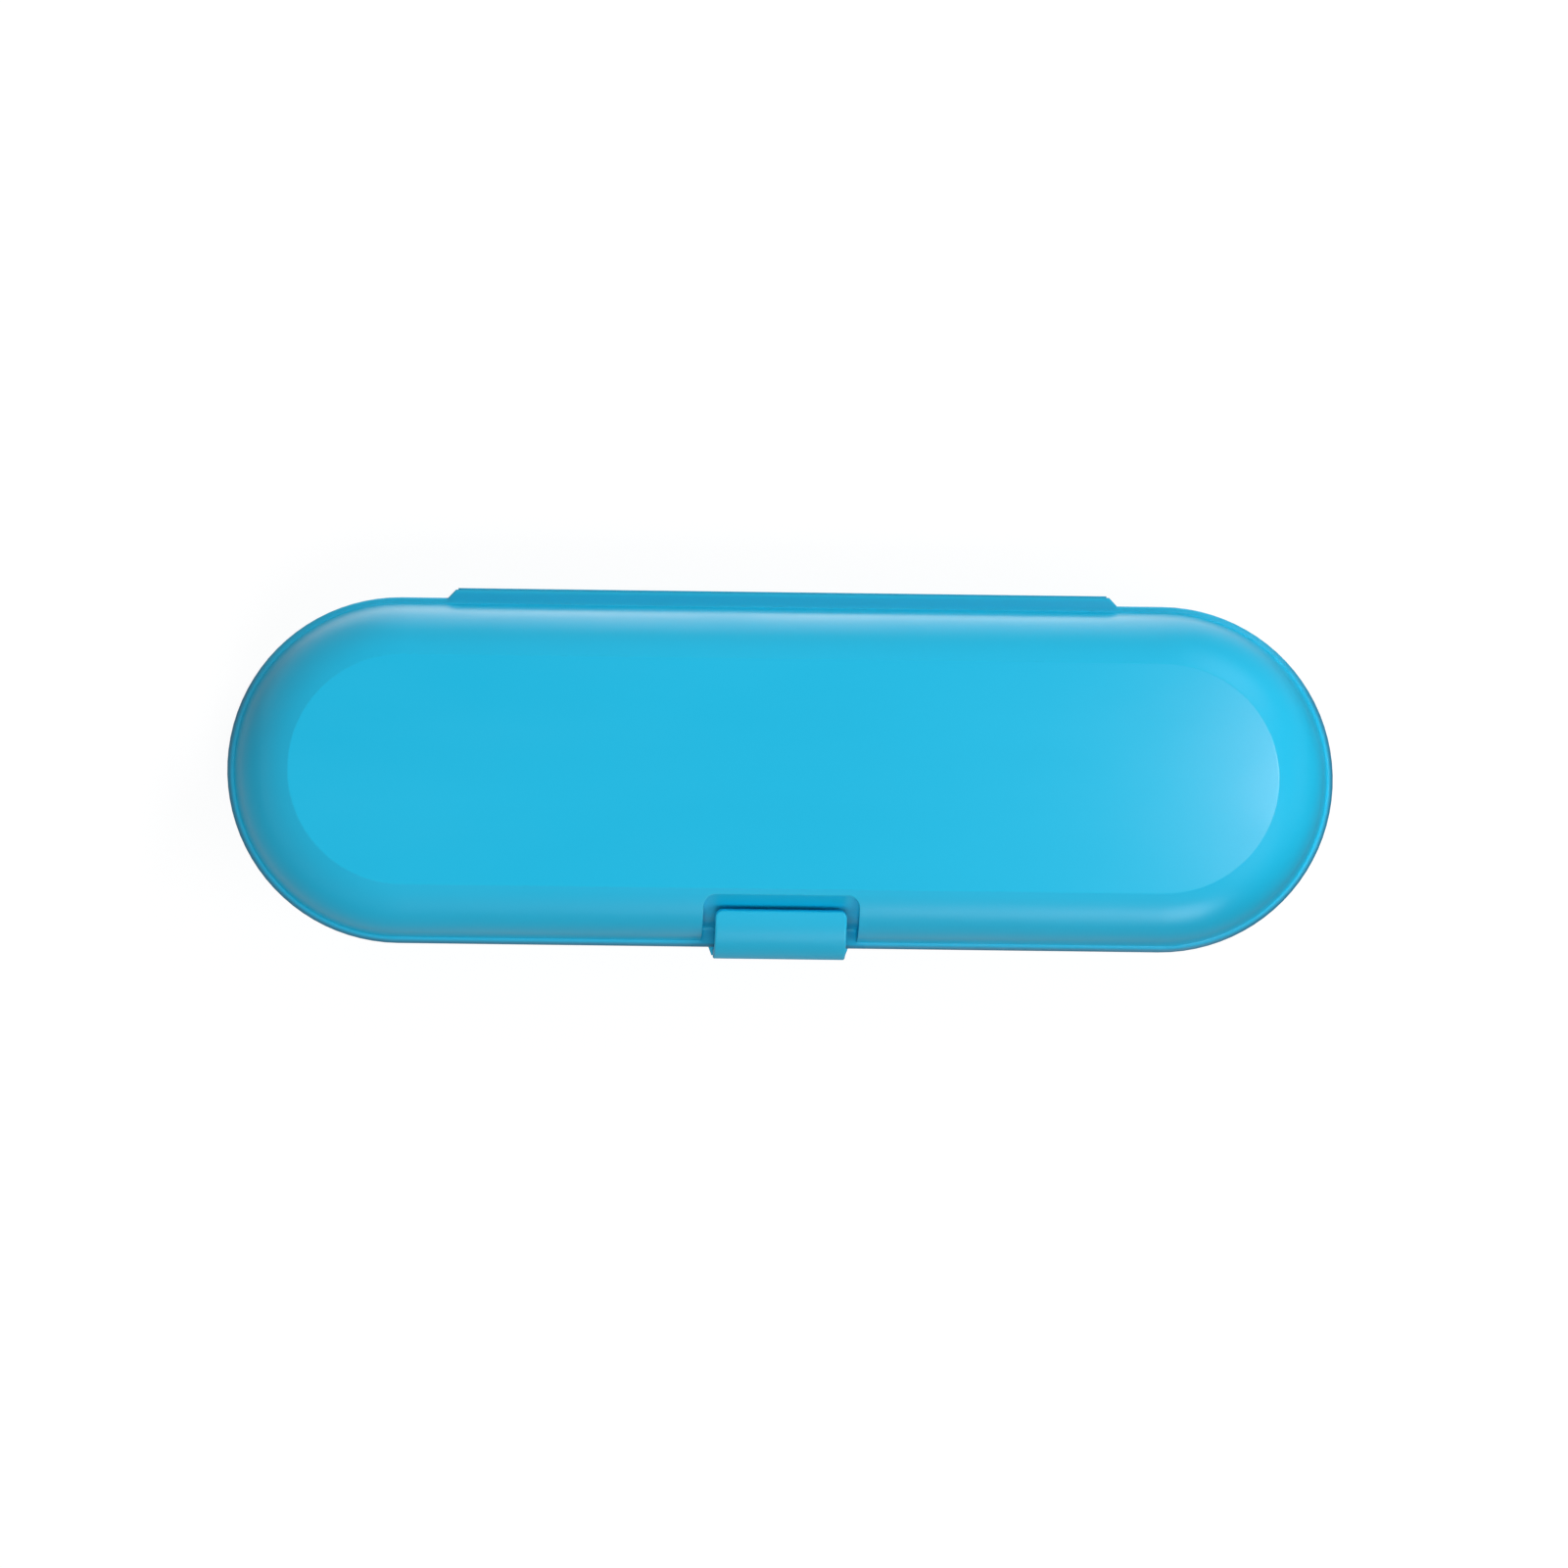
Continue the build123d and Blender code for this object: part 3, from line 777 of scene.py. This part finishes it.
def build_floor():
    """A wide round floor that carries the object's shadow and reads as white."""
    studio = settings().studio
    deselect_all()
    bpy.ops.mesh.primitive_circle_add(vertices=FLOOR_CORNERS, radius=studio.floor_radius, fill_type="NGON")
    floor = bpy.context.active_object
    floor.name = "floor"
    material, tree, shader = new_material("floor_white")
    shader.inputs["Base Color"].default_value = (*studio.floor_colour, 1.0)
    shader.inputs["Roughness"].default_value = 1.0
    shader.inputs["Specular IOR Level"].default_value = 0.0
    shader.inputs["Emission Color"].default_value = WHITE
    camera_sees, reflections_see = seen_by(tree)
    to_camera = arithmetic(tree, "MULTIPLY", camera_sees, studio.floor_lift)
    to_reflections = arithmetic(tree, "MULTIPLY", reflections_see, reflected_lift(tree))
    lift = arithmetic(tree, "ADD", to_camera, to_reflections)
    tree.links.new(lift, shader.inputs["Emission Strength"])
    floor.data.materials.append(material)


def build_world():
    """Even light from all round, white to the camera and in reflections but for a screen at the right."""
    studio = settings().studio
    world = bpy.data.worlds.new("studio_world")
    bpy.context.scene.world = world
    world.use_nodes = True
    tree = world.node_tree
    background = tree.nodes["Background"]
    background.inputs["Color"].default_value = WHITE
    camera_sees, reflections_see = seen_by(tree)
    way = tree.nodes.new("ShaderNodeTexCoord").outputs["Generated"]
    part = tree.nodes.new("ShaderNodeSeparateXYZ")
    tree.links.new(way, part.inputs["Vector"])
    screened = remap(tree, part.outputs["X"], *SCREEN_FADE, 1.0, studio.screen_level)
    seen = arithmetic(tree, "MAXIMUM", camera_sees, arithmetic(tree, "MULTIPLY", reflections_see, screened))
    level = arithmetic(tree, "MAXIMUM", seen, studio.world_level)
    tree.links.new(level, background.inputs["Strength"])


def softbox(name, place, aim, size, level):
    """A rectangular lamp. Its level is what a white surface that faces it at the aim sends back."""
    place, aim = Vector(place), Vector(aim)
    turn = (aim - place).to_track_quat("-Z", "Y").to_euler()
    bpy.ops.object.light_add(type="AREA", location=place, rotation=turn)
    lamp = bpy.context.active_object
    lamp.name = name
    lamp.data.shape = "RECTANGLE"
    lamp.data.size, lamp.data.size_y = size
    lamp.data.energy = level * (math.pi * (aim - place).length) ** 2
    return lamp


def build_softboxes():
    """Five softboxes that light the case and don't show in its reflections."""
    studio = settings().studio
    softboxes = (
        ("key_lamp", (0.67, 0.8, 0.64), SQUARE_BOX, studio.key_level),
        ("side_lamp", (0.82, -0.47, 0.78), SQUARE_BOX, studio.side_level),
        ("fill_lamp", (-0.06, -0.69, 1.02), SQUARE_BOX, studio.fill_level),
        ("left_lamp", (-1.2, 0.0, 0.2), LOW_BOX, studio.left_level),
        ("right_lamp", (1.2, 0.0, 0.2), LOW_BOX, studio.right_level),
    )
    for name, place, size, level in softboxes:
        lamp = softbox(name, place, LID_MIDDLE, size, level)
        lamp.visible_glossy = False


def build_reflected_lamps():
    """Two lamps seen only in reflections: a glow on the right-hand end, a streak on the front shoulder."""
    studio = settings().studio
    lamps = (
        ("glow_lamp", (0.124, 0.0, 0.15), (0.1, 0.0, 0.04), GLOW_BOX, studio.glow_level),
        ("streak_lamp", (0.21, -0.63, 0.17), (0.08, -0.03, 0.033), STREAK_BOX, studio.streak_level),
    )
    for name, place, aim, size, level in lamps:
        lamp = softbox(name, place, aim, size, level)
        lamp.visible_diffuse = False


def build_camera():
    """A long-lens camera almost straight above, set as the photograph's."""
    view = settings().camera
    backward = Vector((-math.tan(view.lean_left), -math.tan(view.lean_front), 1.0)).normalized()
    right = Vector((math.cos(view.roll), math.sin(view.roll), 0.0))
    right = (right - backward * right.dot(backward)).normalized()
    up = backward.cross(right)
    place = Matrix((right, up, backward)).transposed().to_4x4()
    place.translation = Vector(view.aim) + backward * view.distance
    bpy.ops.object.camera_add()
    camera = bpy.context.active_object
    camera.name = "photo_camera"
    camera.matrix_world = place
    camera.data.lens = camera.data.sensor_width * view.distance / view.frame_width
    camera.data.clip_start, camera.data.clip_end = (view.distance * share for share in CLIP_SHARES)
    bpy.context.scene.camera = camera


class TRAVELCASE_OT_stage(bpy.types.Operator):
    """Set up the white floor, the lamps, the world and the camera"""

    bl_idname = "travel_case.stage"
    bl_label = "Studio"

    def execute(self, context):
        build_floor()
        build_world()
        build_softboxes()
        build_reflected_lamps()
        build_camera()
        context.scene.view_settings.view_transform = "Standard"
        return {"FINISHED"}


OPERATORS = (
    TRAVELCASE_OT_shells,
    TRAVELCASE_OT_inserts,
    TRAVELCASE_OT_latch,
    TRAVELCASE_OT_hinge_films,
    TRAVELCASE_OT_stage,
)


class TRAVELCASE_PT_sidebar(bpy.types.Panel):
    """Sidebar with a button for each group of pieces"""

    bl_idname = "TRAVELCASE_PT_sidebar"
    bl_label = "Travel Case"
    bl_space_type = "VIEW_3D"
    bl_region_type = "UI"
    bl_category = "Travel Case"

    def draw(self, context):
        case = context.scene.travel_case
        for group in (case.plastic, case.film, case.marks, case.studio, case.camera):
            box = self.layout.box()
            for name in group.bl_rna.properties.keys():
                if name not in {"rna_type", "name"}:
                    box.prop(group, name)
        for operator in OPERATORS:
            self.layout.operator(operator.bl_idname)


CLASSES = (
    PlasticSettings,
    FilmSettings,
    MarkSettings,
    StudioSettings,
    CameraSettings,
    CaseSettings,
    *OPERATORS,
    TRAVELCASE_PT_sidebar,
)


def register():
    for item in CLASSES:
        bpy.utils.register_class(item)
    bpy.types.Scene.travel_case = bpy.props.PointerProperty(type=CaseSettings)


def unregister():
    del bpy.types.Scene.travel_case
    for item in reversed(CLASSES):
        bpy.utils.unregister_class(item)


def main():
    register()
    bpy.ops.travel_case.shells()
    bpy.ops.travel_case.inserts()
    bpy.ops.travel_case.latch()
    bpy.ops.travel_case.hinge_films()
    bpy.ops.travel_case.stage()


if __name__ == "__main__":
    main()
